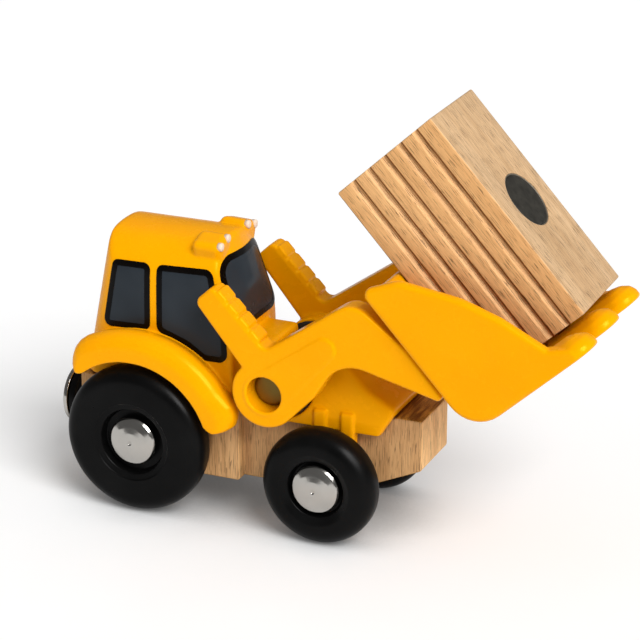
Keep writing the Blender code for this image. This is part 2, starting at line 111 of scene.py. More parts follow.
def add(obj, *others):
    for other in others:
        combine(obj, other, "UNION")


def cut(obj, *others):
    for other in others:
        combine(obj, other, "DIFFERENCE")


def melt(obj, voxel, rounds):
    """Remeshes a solid evenly and relaxes it, which leaves its edges and corners soft like a moulding's."""
    made = obj.modifiers.new("even", "REMESH")
    made.mode = "VOXEL"
    made.voxel_size = voxel
    made.adaptivity = 0.0
    soft = obj.modifiers.new("relax", "SMOOTH")
    soft.factor = 0.5
    soft.iterations = rounds
    return settle(obj)


def ease_edges(obj, width, segments):
    """Rounds off the edges of a sawn solid."""
    made = obj.modifiers.new("edges", "BEVEL")
    made.width = width
    made.segments = segments
    made.limit_method = "ANGLE"
    made.angle_limit = math.radians(40)
    settle(obj)


def dress(obj, body, paint, nodes, sharp):
    """Shades and paints a piece, ties it to its body, and hides the imported parts of the nodes it stands
    for.
    """
    obj.data.shade_smooth()
    if sharp:
        obj.data.set_sharp_from_angle(angle=math.radians(sharp))
    obj.data.materials.clear()
    obj.data.materials.append(paint)
    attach(obj, body)
    if nodes:
        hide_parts(*nodes)


def piece(obj, body, paint, slot, *nodes, sharp=None):
    """Turns a workshop object into a finished piece of the toy."""
    obj.data.transform(TO_FRAME)
    dress(obj, body, paint, nodes, sharp)


def side_span(sign, inner, outer):
    """The low and the high y of a stretch that lies between two distances from the middle of the toy."""
    return sorted((sign * inner, sign * outer))


def arc(centre, radius, start, end, steps):
    """Points of an arc between two angles in degrees."""
    found = []
    for i in range(steps + 1):
        angle = math.radians(start + (end - start) * i / steps)
        found.append((centre[0] + radius * math.cos(angle), centre[1] + radius * math.sin(angle)))
    return found


def rounded(before, corner, after, steps):
    """The points that round one corner (u, v, radius) off, or just the corner if its radius is 0."""
    here = Vector(corner[:2])
    radius = corner[2]
    back = (Vector(before[:2]) - here).normalized()
    ahead = (Vector(after[:2]) - here).normalized()
    half = back.angle(ahead) / 2
    if radius <= 0 or half > math.radians(88.5):
        return [tuple(here)]
    middle = here + (back + ahead).normalized() * (radius / math.sin(half))
    first = here + back * (radius / math.tan(half)) - middle
    turn = first.angle_signed(here + ahead * (radius / math.tan(half)) - middle)
    found = []
    for k in range(steps + 1):
        angle = -turn * k / steps
        c, s = math.cos(angle), math.sin(angle)
        found.append((middle.x + c * first.x - s * first.y, middle.y + s * first.x + c * first.y))
    return found


def filleted(corners, steps=6):
    """A closed outline from corners (u, v, radius), each corner rounded to its radius."""
    found = []
    for i, corner in enumerate(corners):
        found += rounded(corners[i - 1], corner, corners[(i + 1) % len(corners)], steps)
    return found


def soft_path(corners, steps=4):
    """An open polyline from corners (u, v, radius) with its inner corners rounded."""
    found = [corners[0][:2]]
    for before, corner, after in zip(corners, corners[1:], corners[2:]):
        found += rounded(before, corner, after, steps)
    found.append(corners[-1][:2])
    return found


def prism(outline, y_from, y_to, soft=0.0, segments=3, soft_where=None):
    """An outline in XZ between two y values. Its rims are rounded by soft, where soft_where allows it."""
    bm = bmesh.new()
    near = [bm.verts.new((x, y_from, z)) for x, z in outline]
    far = [bm.verts.new((x, y_to, z)) for x, z in outline]
    bm.faces.new(near)
    bm.faces.new(far)
    count = len(outline)
    for i in range(count):
        j = (i + 1) % count
        bm.faces.new((near[i], near[j], far[j], far[i]))
    bmesh.ops.recalc_face_normals(bm, faces=bm.faces)
    if soft:
        rims = [e for e in bm.edges if abs(e.verts[0].co.y - e.verts[1].co.y) < 1e-6]
        if soft_where:
            rims = [e for e in rims if soft_where((e.verts[0].co + e.verts[1].co) / 2)]
        bmesh.ops.bevel(bm, geom=rims, offset=soft, segments=segments, profile=0.5, affect="EDGES",
                        clamp_overlap=True)
    return workshop("prism", bm)


def block(low, high, soft=0.0, segments=3):
    """A box between two corners, with its edges rounded by soft."""
    bm = bmesh.new()
    bmesh.ops.create_cube(bm, size=1.0)
    bmesh.ops.scale(bm, vec=[high[i] - low[i] for i in range(3)], verts=bm.verts)
    bmesh.ops.translate(bm, vec=[(high[i] + low[i]) / 2 for i in range(3)], verts=bm.verts)
    if soft:
        bmesh.ops.bevel(bm, geom=bm.edges[:], offset=soft, segments=segments, profile=0.5, affect="EDGES")
    return workshop("block", bm)


def drum(start, end, radius, sides=48):
    """A cylinder between two points."""
    start, end = Vector(start), Vector(end)
    bm = bmesh.new()
    bmesh.ops.create_cone(bm, cap_ends=True, segments=sides, radius1=radius, radius2=radius,
                          depth=(end - start).length)
    turn = (end - start).to_track_quat("Z", "Y").to_matrix().to_4x4()
    bmesh.ops.transform(bm, matrix=Matrix.Translation((start + end) / 2) @ turn, verts=bm.verts)
    return workshop("drum", bm)


def lathe(path, matrix, steps=96):
    """A path (radius, height) turned about +Z, then placed by the matrix. A closed path makes a ring."""
    ring = (Vector(path[0]) - Vector(path[-1])).length < 1e-6
    if ring:
        path = path[:-1]
    bm = bmesh.new()
    rows = []
    for radius, height in path:
        if radius < 1e-6:
            rows.append([bm.verts.new((0, 0, height))])
            continue
        rows.append([bm.verts.new((radius * math.cos(a), radius * math.sin(a), height))
                     for a in (math.tau * i / steps for i in range(steps))])
    pairs = list(zip(rows, rows[1:]))
    if ring:
        pairs.append((rows[-1], rows[0]))
    for first, second in pairs:
        for i in range(steps):
            j = (i + 1) % steps
            corners = [first[i % len(first)], first[j % len(first)],
                       second[j % len(second)], second[i % len(second)]]
            bm.faces.new([vert for k, vert in enumerate(corners) if vert is not corners[k - 1]])
    bmesh.ops.transform(bm, matrix=matrix, verts=bm.verts)
    return workshop("lathe", bm)


def outward(side, x, y, z):
    """Places a lathed shape with its axis along +Y (side 1) or -Y (side -1)."""
    return Matrix.Translation((x, y, z)) @ Matrix.Rotation(-side * math.pi / 2, 4, "X")


# ---------------------------------------------------------------- materials

class Paint:
    """A small builder round one material's node tree."""

    def __init__(self, name):
        self.material = bpy.data.materials.new(name)
        self.material.use_nodes = True
        self.tree = self.material.node_tree
        self.shader = self.tree.nodes["Principled BSDF"]

    def node(self, kind, **inputs):
        """A node with its inputs set by name, with _ for each space."""
        made = self.tree.nodes.new(kind)
        for key, value in inputs.items():
            made.inputs[key.replace("_", " ")].default_value = value
        return made

    def link(self, source, target):
        self.tree.links.new(source, target)

    def spot(self, scale, stretch=(1, 1, 1), detail=3.0, rough=0.55):
        """Noise in object space, stretched along the axes; returns its value output."""
        place = self.node("ShaderNodeTexCoord")
        mapping = self.node("ShaderNodeMapping")
        mapping.inputs["Scale"].default_value = stretch
        noise = self.node("ShaderNodeTexNoise", Scale=scale, Detail=detail, Roughness=rough)
        self.link(place.outputs["Object"], mapping.inputs["Vector"])
        self.link(mapping.outputs["Vector"], noise.inputs["Vector"])
        return noise.outputs["Fac"]

    def ramp(self, source, *stops):
        """A colour for each value of the source, from stops (value, colour)."""
        made = self.node("ShaderNodeValToRGB")
        elements = made.color_ramp.elements
        while len(elements) < len(stops):
            elements.new(0.5)
        for element, (position, colour) in zip(elements, stops):
            element.position = position
            element.color = (*colour, 1.0)
        self.link(source, made.inputs["Fac"])
        return made.outputs["Color"]

    def span(self, source, low, high, out_low, out_high):
        """The source's range low to high, drawn out to out_low to out_high and held there."""
        made = self.node("ShaderNodeMapRange")
        made.inputs["From Min"].default_value = low
        made.inputs["From Max"].default_value = high
        made.inputs["To Min"].default_value = out_low
        made.inputs["To Max"].default_value = out_high
        self.link(source, made.inputs["Value"])
        return made.outputs["Result"]

    def blend(self, factor, first, second, mode="MIX"):
        """A mix of two colours; factor, first and second are values or other nodes' outputs."""
        made = self.node("ShaderNodeMix")
        made.data_type = "RGBA"
        made.blend_type = mode
        for value, index in ((factor, 0), (first, 6), (second, 7)):
            if hasattr(value, "is_linked"):
                self.link(value, made.inputs[index])
            elif index:
                made.inputs[index].default_value = (*value, 1.0)
            else:
                made.inputs[index].default_value = value
        return made.outputs[2]

    def maths(self, kind, first, second=0.0):
        made = self.node("ShaderNodeMath")
        made.operation = kind
        for value, index in ((first, 0), (second, 1)):
            if hasattr(value, "is_linked"):
                self.link(value, made.inputs[index])
            else:
                made.inputs[index].default_value = value
        return made.outputs[0]

    def bump(self, source, strength, distance):
        made = self.node("ShaderNodeBump", Strength=strength, Distance=distance)
        self.link(source, made.inputs["Height"])
        self.link(made.outputs["Normal"], self.shader.inputs["Normal"])

    def colour(self, source):
        self.link(source, self.shader.inputs["Base Color"])

    def roughness(self, source):
        self.link(source, self.shader.inputs["Roughness"])


def srgb(r, g, b):
    """A linear colour from one as a picture shows it, 0 to 255."""
    def linear(v):
        v /= 255
        return v / 12.92 if v <= 0.04045 else ((v + 0.055) / 1.055) ** 2.4
    return linear(r), linear(g), linear(b)


def yellow_plastic():
    """Glossy warm yellow. The light that it throws on its neighbours is duller than it looks itself."""
    p = Paint("yellow_plastic")
    cloud = p.spot(60, detail=2)
    seen = p.ramp(cloud, (0.3, srgb(252, 166, 0)), (0.7, srgb(255, 172, 0)))
    path = p.node("ShaderNodeLightPath")
    p.colour(p.blend(path.outputs["Is Diffuse Ray"], seen, (0.66, 0.27, 0.03)))
    p.roughness(p.span(p.spot(220, detail=5), 0.3, 0.7, 0.20, 0.32))
    p.shader.inputs["Specular Tint"].default_value = (1.0, 0.66, 0.06, 1.0)
    p.shader.inputs["Subsurface Weight"].default_value = 0.05
    p.shader.inputs["Subsurface Radius"].default_value = (1.0, 0.5, 0.1)
    p.shader.inputs["Subsurface Scale"].default_value = 0.0008
    p.bump(p.spot(2600, detail=3), 0.05, 0.0001)
    return p.material


def wood(name, pale, mid, dark, upright):
    """Beech: faint bands and fine fibres along the block, short dark flecks, and painted shade in its inner
    corners. On an upright block the fibres stand up, and its top is end grain crossed by growth rings."""
    p = Paint(name)
    place = p.node("ShaderNodeTexCoord")
    normal = p.node("ShaderNodeSeparateXYZ")
    p.link(place.outputs["Normal"], normal.inputs[0])

    def facing(axis):
        """1 on the faces that look along an axis, either way, and 0 on the others."""
        return p.span(p.maths("ABSOLUTE", normal.outputs[axis]), 0.5, 0.75, 0.0, 1.0)

    along = (1, 1, 0.045) if upright else (0.045, 1, 1)
    bands = p.spot(300, along, 2, 0.5)
    fibres = p.spot(4200, along, 3, 0.65)
    marks = p.spot(6200, along, 1.0, 0.4)
    tone = p.ramp(bands, (0.25, dark), (0.5, mid), (0.75, pale))
    streaks = p.ramp(fibres, (0.33, (0.62, 0.54, 0.46)), (0.58, WHITE))
    tone = p.blend(0.6, tone, streaks, "MULTIPLY")
    fleck = p.span(marks, 0.60, 0.64, 0.0, 1.0)
    patches = p.span(p.spot(420, detail=2), 0.40, 0.56, 0.65, 1.0)
    flecks = p.maths("MULTIPLY", p.maths("MULTIPLY", fleck, patches), 0.85)
    tone = p.blend(flecks, tone, tuple(0.30 * v for v in dark))
    if upright:
        rings = p.spot(1500, (1, 0.07, 1), 2, 0.6)
        growth = p.ramp(rings, (0.38, (0.40, 0.32, 0.10)), (0.56, (1.0, 0.94, 0.38)))
        tone = p.blend(facing("Z"), tone, p.blend(1.0, tone, growth, "MULTIPLY"))
        # painted light: on the upright chassis the faces that look along X, its two ends, are painted
        # lighter, standing in for the light from ahead
        tone = p.blend(facing("X"), tone, (1.34, 1.42, 1.45), "MULTIPLY")
    else:
        tone = p.blend(facing("Y"), tone, (1.32, 1.12, 0.84), "MULTIPLY")
        # the grooves' walls: one side of each groove is in shade, and the other catches the light
        slant = p.span(p.maths("ABSOLUTE", normal.outputs["Y"]), 0.2, 0.4, 0.0, 1.0)
        shaded = p.maths("MULTIPLY", slant, p.span(normal.outputs["Z"], -0.6, -0.3, 1.0, 0.0))
        tone = p.blend(shaded, tone, (0.42, 0.29, 0.16), "MULTIPLY")
        bright = p.maths("MULTIPLY", slant, p.span(normal.outputs["Z"], 0.3, 0.6, 0.0, 1.0))
        tone = p.blend(bright, tone, (1.10, 1.12, 1.20), "MULTIPLY")
    # painted shade: an ambient occlusion mask darkens the wood in the grooves and inner corners, where
    # shade falls
    hollow = p.node("ShaderNodeAmbientOcclusion", Distance=0.0016)
    hollow.samples = 8
    corner = p.ramp(hollow.outputs["AO"], (0.30, (0.42, 0.30, 0.20)), (0.74, WHITE))
    p.colour(p.blend(1.0, tone, corner, "MULTIPLY"))
    p.shader.inputs["Specular IOR Level"].default_value = 0.25
    p.roughness(p.span(fibres, 0.3, 0.7, 0.55, 0.70))
    p.bump(p.maths("SUBTRACT", fibres, p.maths("MULTIPLY", fleck, 0.7)), 0.25, 0.0001)
    return p.material


def black_plastic():
    p = Paint("black_plastic")
    cloud = p.spot(90, detail=4)
    p.colour(p.ramp(cloud, (0.3, (0.002, 0.002, 0.002)), (0.75, (0.005, 0.005, 0.005))))
    p.shader.inputs["Specular IOR Level"].default_value = 0.12
    p.roughness(p.span(p.spot(160, detail=6), 0.3, 0.7, 0.26, 0.42))
    p.bump(p.spot(1800, detail=3), 0.08, 0.0001)
    return p.material


def black_rubber():
    p = Paint("black_rubber")
    p.colour(p.ramp(p.spot(300), (0.3, (0.010, 0.010, 0.010)), (0.7, (0.022, 0.021, 0.020))))
    p.roughness(p.span(p.spot(500, detail=5), 0.3, 0.7, 0.7, 0.9))
    p.bump(p.spot(3000), 0.3, 0.0001)
    return p.material


def metal(name, colour, rough_low, rough_high, brush=(1, 1, 1)):
    p = Paint(name)
    p.shader.inputs["Metallic"].default_value = 1.0
    cloud = p.spot(140, detail=4)
    p.colour(p.ramp(cloud, (0.3, tuple(0.86 * v for v in colour)), (0.7, colour)))
    p.roughness(p.span(p.spot(420, brush, 6, 0.6), 0.3, 0.7, rough_low, rough_high))
    p.bump(p.spot(1500, brush, 4), 0.10, 0.0001)
    return p.material


def window_glass():
    p = Paint("window_glass")
    p.colour(p.ramp(p.spot(70, detail=2), (0.3, srgb(36, 42, 48)), (0.7, srgb(48, 54, 60))))
    p.shader.inputs["Specular IOR Level"].default_value = 0.15
    p.roughness(p.span(p.spot(240, detail=5), 0.3, 0.7, 0.18, 0.28))
    p.bump(p.spot(2400), 0.04, 0.0001)
    return p.material


def window_trim():
    p = Paint("window_trim")
    p.colour(p.ramp(p.spot(200), (0.3, srgb(4, 3, 2)), (0.7, srgb(10, 6, 4))))
    p.shader.inputs["Specular IOR Level"].default_value = 0.15
    p.roughness(p.span(p.spot(300, detail=5), 0.3, 0.7, 0.22, 0.34))
    p.bump(p.spot(2400), 0.05, 0.0001)
    return p.material


def lamp_white():
    p = Paint("lamp_white")
    p.colour(p.ramp(p.spot(300), (0.3, srgb(240, 214, 190)), (0.7, srgb(250, 228, 208))))
    p.roughness(p.span(p.spot(500), 0.3, 0.7, 0.16, 0.26))
    p.bump(p.spot(2600), 0.04, 0.0001)
    return p.material


def dark_disc():
    p = Paint("dark_disc")
    p.shader.inputs["Metallic"].default_value = 0.35
    p.colour(p.ramp(p.spot(500, detail=5), (0.3, srgb(50, 48, 43)), (0.7, srgb(72, 69, 62))))
    p.roughness(p.span(p.spot(900, detail=6), 0.3, 0.7, 0.34, 0.5))
    p.bump(p.spot(2200, detail=5), 0.2, 0.0001)
    return p.material


YELLOW = yellow_plastic()
BLACK = black_plastic()
RUBBER = black_rubber()
NICKEL = metal("nickel", (0.78, 0.75, 0.70), 0.10, 0.22)
STEEL = metal("steel", (0.62, 0.62, 0.62), 0.22, 0.36, (1, 1, 5))
RIM_STEEL = metal("rim_steel", (0.60, 0.54, 0.44), 0.55, 0.65)
# dull dark steel for the pivot pin, tinted warm as painted yellow light thrown on it by the walls of the
# hole it sits in
PIN_STEEL_WARMED_BY_PAINTED_BOUNCE = metal("dull_steel_with_painted_bounce", (0.26, 0.19, 0.05), 0.38, 0.52)
GLASS = window_glass()
TRIM = window_trim()
LAMP = lamp_white()
DISC = dark_disc()
CHASSIS_WOOD = wood("beech_chassis", srgb(226, 180, 126), srgb(214, 166, 112), srgb(197, 147, 96), True)
BLOCK_WOOD = wood("beech_block", srgb(216, 182, 142), srgb(208, 172, 130), srgb(198, 160, 117), False)


# ---------------------------------------------------------------- cab shell

def plan_ring(back, front, half, z):
    """One level of the cabin's walls: a plan outline with rounded corners and a bowed front."""
    sag = 2.6
    corners = [(back, -half, 3.8), (front - sag, -half, 2.8)]
    for share in (-0.62, -0.35, 0.0, 0.35, 0.62):
        corners.append((front - sag * share * share, half * share, 0))
    corners += [(front - sag, half, 2.8), (back, half, 3.8)]
    return [(x, y, z) for x, y in filleted(corners, 8)]


def roof_height(y):
    """The roof's section across: a gentle crown that rolls over into the sides."""
    roll, edge, ridge = 5.6, 10.52, 58.42
    past = max(0.0, roll - (edge - abs(y)))
    return ridge - 0.031 * y * y - (roll - math.sqrt(roll * roll - past * past))


def cabin():
    """The greenhouse: leaning back wall, raked and bowed windscreen, sides drawn in, and a crowned roof."""
    bm = bmesh.new()
    rows = []
    for z in (DECK, 64.0):
        rise = z - DECK
        ring = plan_ring(-15.55 + 0.192 * rise, 27.6 - 0.355 * rise, 11.3 - 0.029 * rise, z)
        rows.append([bm.verts.new(point) for point in ring])
    count = len(rows[0])
    for i in range(count):
        j = (i + 1) % count
        bm.faces.new((rows[0][i], rows[0][j], rows[1][j], rows[1][i]))
    bm.faces.new(rows[0])
    bm.faces.new(rows[1])
    walls = workshop("cabin", bm)
    from_side = filleted([(-16.95, 20, 0), (-9.5, 58.6, 3.0), (16.6, 58.6, 2.6), (33.0, 20, 0)], 12)
    combine(walls, prism(from_side, -BORE, BORE), "INTERSECT")
    steps = [0.35 * k for k in range(-30, 31)]
    from_front = [(-12.3, 20)] + [(y, roof_height(y)) for y in steps] + [(12.3, 20)]
    arch = prism(from_front, -20, 40)
    arch.data.transform(Matrix.Rotation(math.pi / 2, 4, "Z"))
    return combine(walls, arch, "INTERSECT")


def fender_crown(y):
    """How far the fender's outside stands from the axle at a distance y from the middle of the toy."""
    marks = ((7.0, 21.7), (11.2, 22.2), (12.6, 22.9), (14.0, 23.4), (15.0, 23.5), (16.0, 23.2),
             (16.8, 22.6), (17.4, 21.7), (17.8, 20.6), (17.9, 19.9))
    for (y0, r0), (y1, r1) in zip(marks, marks[1:]):
        if y <= y1:
            return r0 + (r1 - r0) * max(0.0, y - y0) / (y1 - y0)
    return marks[-1][1]


def fender(sign):
    """The arch over a rear wheel: a lip crowned across its width, and a foot in front of the wheel."""
    rear = math.degrees(math.asin((29.2 - REAR_R) / ARCH_R))
    front = math.degrees(math.asin((21.7 - REAR_R) / ARCH_R))
    outline = arc((0, REAR_R), ARCH_R, 180 - rear, front, 40)
    outline += [(17.7, 21.15), (19.6, 20.9), (21.2, 21.2), (22.3, 22.1), (22.75, 23.6), (22.7, 25.2),
                (22.1, 26.6), (21.0, 27.7)]
    outline += arc((0, REAR_R), FENDER_R, 35, 113, 40)
    outline += [(-10.8, 36.7), (-12.3, 35.6), (-13.4, 34.2), (-13.9, 32.6), (-13.95, 31.2), (-13.5, 29.9),
                (-12.6, 29.2)]
    arch = prism(outline, *side_span(sign, 7.2, FENDER_SIDE))
    bm = bmesh.new()
    bm.from_mesh(arch.data)
    for y in (11.2, 12.6, 13.4, 14.0, 15.0, 15.6, 16.0, 16.4, 16.8, 17.1, 17.4, 17.6, 17.8):
        bmesh.ops.bisect_plane(bm, geom=bm.verts[:] + bm.edges[:] + bm.faces[:], plane_co=(0, sign * y, 0),
                               plane_no=(0, 1, 0), dist=1e-5)
    for vert in bm.verts:
        reach = Vector((vert.co.x, vert.co.z - REAR_R))
        share = (fender_crown(abs(vert.co.y)) - ARCH_R) / (FENDER_R - ARCH_R)
        wanted = ARCH_R + (reach.length - ARCH_R) * share
        reach *= wanted / reach.length
        vert.co.x = reach.x
        vert.co.z = reach.y + REAR_R
    bmesh.ops.triangulate(bm, faces=bm.faces)
    bm.to_mesh(arch.data)
    bm.free()
    return arch


def lamp_pod(sign):
    """A rounded box that leans outwards with the roof."""
    pod = block((-3.0, -2.85, -3.4), (3.5, 2.85, 1.35), 1.35, 5)
    lean = Matrix.Rotation(-sign * math.radians(17), 4, "X") @ Matrix.Rotation(math.radians(2), 4, "Y")
    pod.data.transform(Matrix.Translation((13.1, sign * 6.5, 57.2)) @ lean)
    return pod


def make_cab():
    """The whole cab moulding, and the bare cabin that its windows are laid on."""
    cab = melt(cabin(), voxel=0.3, rounds=30)
    bow, half_width, reach = 1.4, 10.4, 8.0
    for vert in cab.data.vertices:
        # the back wall bows: its corners stand ahead of its middle
        behind = min(1.0, max(0.0, (2.0 - vert.co.x) / reach))
        vert.co.x += bow * (vert.co.y / half_width) ** 2 * behind
    bare = cab.copy()
    bare.data = cab.data.copy()
    bpy.context.scene.collection.objects.link(bare)
    for sign in (-1, 1):
        add(cab, fender(sign))
    bonnet = block((10.0, -7.1, DECK), (26.9, 7.1, 37.7), 1.0, 3)
    add(cab, bonnet)
    chassis_room = block((-30, -10.7, 0), (40, 10.7, DECK))
    cut(cab, chassis_room)
    for sign in (-1, 1):
        low_y, high_y = side_span(sign, 7.5, 14.0)
        boss_room = block((21.6, low_y, 10), (40, high_y, 37.5))
        wheel_room = prism(arc((0, REAR_R), ARCH_R, 0, 354, 60), *side_span(sign, 10.7, 24.0))
        cut(cab, boss_room, wheel_room)
        add(cab, lamp_pod(sign))
    return melt(cab, voxel=0.24, rounds=9), bare


# ---------------------------------------------------------------- window panes

def inset(outline, by):
    """The outline moved inwards by a distance, keeping its point count."""
    count = len(outline)
    area = sum(outline[i - 1][0] * outline[i][1] - outline[i][0] * outline[i - 1][1] for i in range(count))
    flip = 1 if area > 0 else -1
    found = []
    for i in range(count):
        before, here, after = (Vector(outline[(i + k) % count]) for k in (-1, 0, 1))
        first = (here - before).normalized()
        second = (after - here).normalized()
        normal = Vector((-(first.y + second.y), first.x + second.x)) * flip
        normal.normalize()
        lean = max(0.35, normal.dot(Vector((-first.y, first.x)) * flip))
        found.append(tuple(here + normal * (by / lean)))
    return found


def flat_fill(loops):
    """A flat shape from one or two loops (the second is a hole), diced so that it can follow a curve."""
    bm = bmesh.new()
    edges = []
    for loop in loops:
        verts = [bm.verts.new((u, v, 0)) for u, v in loop]
        edges += [bm.edges.new((verts[i - 1], verts[i])) for i in range(len(verts))]
    bmesh.ops.triangle_fill(bm, edges=edges, use_beauty=True)
    dice = 0.7
    for axis, normal in enumerate(((1, 0, 0), (0, 1, 0))):
        reach = [vert.co[axis] for vert in bm.verts]
        at = min(reach) + dice
        while at < max(reach):
            bmesh.ops.bisect_plane(bm, geom=bm.verts[:] + bm.edges[:] + bm.faces[:],
                                   plane_co=[at * share for share in normal], plane_no=normal, dist=1e-5)
            at += dice
    return bm


def press_on(bm, shell, direction, lift, depth):
    """Drops a flat shape onto the shell along a direction and gives it thickness."""
    tree = BVHTree.FromObject(shell, bpy.context.evaluated_depsgraph_get())
    ray = Vector(direction)
    from_outside = ray * -60
    for vert in bm.verts:
        u, v = vert.co[:2]
        seat = Vector((u, 0, v)) if direction[1] else Vector((0, u, v))
        hit, normal = tree.ray_cast(seat + from_outside, ray)[:2]
        vert.co = hit + normal.lerp(-ray, 0.5).normalized() * lift
    obj = workshop("pane", bm)
    made = obj.modifiers.new("thickness", "SOLIDIFY")
    made.thickness = depth
    made.offset = -1.0
    if sum(poly.normal.dot(ray) * poly.area for poly in obj.data.polygons) > 0:
        obj.data.flip_normals()
    return settle(obj)


def window(name, shell, outline, direction):
    """A dark pane and the black border round it."""
    inner = inset(outline, 1.22)
    pane = press_on(flat_fill([inner]), shell, direction, lift=0.06, depth=0.35)
    trim = press_on(flat_fill([outline, inner]), shell, direction, lift=0.12, depth=0.45)
    pane.name = name + "_glass"
    trim.name = name + "_trim"
    piece(pane, "chassis_body", GLASS, "black_plastic", sharp=40)
    piece(trim, "chassis_body", TRIM, "black_plastic", sharp=40)


def make_windows(shell):
    """Two panes on each side, the windscreen and a back window, as outlines (x, z) or (y, z)."""
    front_side = filleted([(3.0, 52.3, 1.3), (15.2, 52.7, 2.0), (18.6, 38.4, 3.0), (18.9, 33.6, 1.9),
                           (13.6, 33.5, 2.0), (9.6, 36.1, 6.0), (3.0, 38.3, 2.0)], 6)
    rear_side = filleted([(-6.9, 52.2, 1.2), (1.5, 52.3, 1.6), (1.5, 38.1, 1.6), (-9.3, 37.8, 1.6)], 6)
    windscreen = filleted([(-9.2, 54.9, 4.5), (9.2, 54.9, 4.5), (9.9, 39.4, 2.0), (-9.9, 39.4, 2.0)], 8)
    back = filleted([(-6.0, 51.8, 1.6), (6.0, 51.8, 1.6), (6.6, 40.4, 1.6), (-6.6, 40.4, 1.6)], 6)
    for sign, side in SIDES:
        window("window_front_" + side, shell, front_side, (0, -sign, 0))
        window("window_rear_" + side, shell, rear_side, (0, -sign, 0))
    window("windscreen", shell, windscreen, (-1, 0, 0))
    window("window_back", shell, back, (1, 0, 0))


def make_lamp_dots():
    """Two small white domes on the front of each lamp pod."""
    path = soft_path([(0, 0.2, 0), (0.55, 0.18, 0.3), (0.88, 0.04, 0.2), (0.88, -0.8, 0)])
    path.append((0, -0.8))
    ahead = Matrix.Rotation(math.pi / 2, 4, "Y")
    for sign, side in SIDES:
        for across, height, label in ((8.1, 57.15, "outer"), (4.9, 58.0, "inner")):
            dot = lathe(path, Matrix.Translation((16.65, sign * across, height)) @ ahead, 40)
            dot.name = "lamp_%s_%s" % (side, label)
            piece(dot, "chassis_body", LAMP, "yellow_plastic")


# ---------------------------------------------------------------- nose cover

def make_nose():
    """The front moulding: sides that draw in towards the top, two ribs down each, and the pivot's seat."""
    hood = filleted([(26.0, 16.0, 0), (47.4, 16.0, 0), (54.9, 28.2, 1.0), (48.2, 31.8, 5.0),
                     (42.2, 37.4, 2.0), (26.0, 37.4, 0)], 6)
    rounded_from = 27.0
    nose = prism(hood, -10.1, 10.1, 1.5, 4, lambda at: at.z > rounded_from)
    melt(nose, voxel=0.5, rounds=16)
    for vert in nose.data.vertices:
        vert.co.y *= 1 - 0.22 * max(0.0, vert.co.z - 25.0) / 12
    cut(nose, block((20, -BORE, 0), (70, BORE, 22.6)), block((0, -BORE, 0), (31.2, BORE, 60)))
    for sign in (-1, 1):
        low_y, high_y = side_span(sign, 7.4, BORE)
        cut(nose, drum((PIVOT[0], low_y, PIVOT[1]), (PIVOT[0], high_y, PIVOT[1]), 7.7, 72))
    tower = filleted([(27.4, DECK, 0), (40.0, DECK, 0), (40.0, 36.4, 0), (33.5, 36.4, 2.0),
                      (27.4, 34.8, 2.5)])
    add(nose, prism(tower, -7.2, 7.2))
    for sign in (-1, 1):
        low_y, high_y = side_span(sign, 7.8, 10.7)
        for x in (38.8, 44.7):
            add(nose, block((x - 1.5, low_y, 17.6), (x + 1.5, high_y, 26.7), 0.6, 3))
    cut(nose, block((20, -7.7, 0), (70, 7.7, DECK)))
    cut(nose, drum((WHEELBASE, -BORE, FRONT_R), (WHEELBASE, BORE, FRONT_R), 4.0))
    cut(nose, drum((PIVOT[0], -BORE, PIVOT[1]), (PIVOT[0], BORE, PIVOT[1]), 3.1))
    melt(nose, voxel=0.22, rounds=4)
    nose.name = "nose_shell"
    piece(nose, "chassis_body", YELLOW, "yellow_plastic", "nose_cover")


# ---------------------------------------------------------------- loader

VALLEY = (29.8, 40.2)                   # where the handle meets the top of the arm
HANDLE_FALL = math.radians(46.4)        # slope at which the handle's upper edge falls towards the valley
BOSS_R = 7.1
PAD_COUNT = 4
PAD_PITCH = 3.35


def arm_outline():
    """Boss, handle and cranked arm, raised."""
    points = arc(PIVOT, BOSS_R, 134, 316, 40)
    points += filleted([(*points[-1], 0), (40.3, 31.7, 3.0), (45.6, 40.45, 7.5), (66.4, 35.2, 0.9),
                        (67.4, 36.2, 0.9), (59.6, 45.0, 2.0), (48.3, 53.1, 4.8), (*VALLEY, 1.6),
                        (18.45, 52.05, 1.3), (14.5, 48.4, 1.6), (*points[0], 0)], 8)[1:-1]
    return points


def finger_pad(k, sign):
    """One of the low pads along the handle's upper edge, counted from the valley."""
    low_y, high_y = side_span(sign, 12.35, 17.05)
    pad = block((-PAD_PITCH / 2 + 0.1, low_y, -1.0), (PAD_PITCH / 2 - 0.1, high_y, 0.55), 0.55, 4)
    along = 1.8 + PAD_PITCH * (k + 0.5)
    x = VALLEY[0] - along * math.cos(HANDLE_FALL)
    z = VALLEY[1] + along * math.sin(HANDLE_FALL)
    pad.data.transform(Matrix.Translation((x, 0, z)) @ Matrix.Rotation(HANDLE_FALL, 4, "Y"))
    return pad


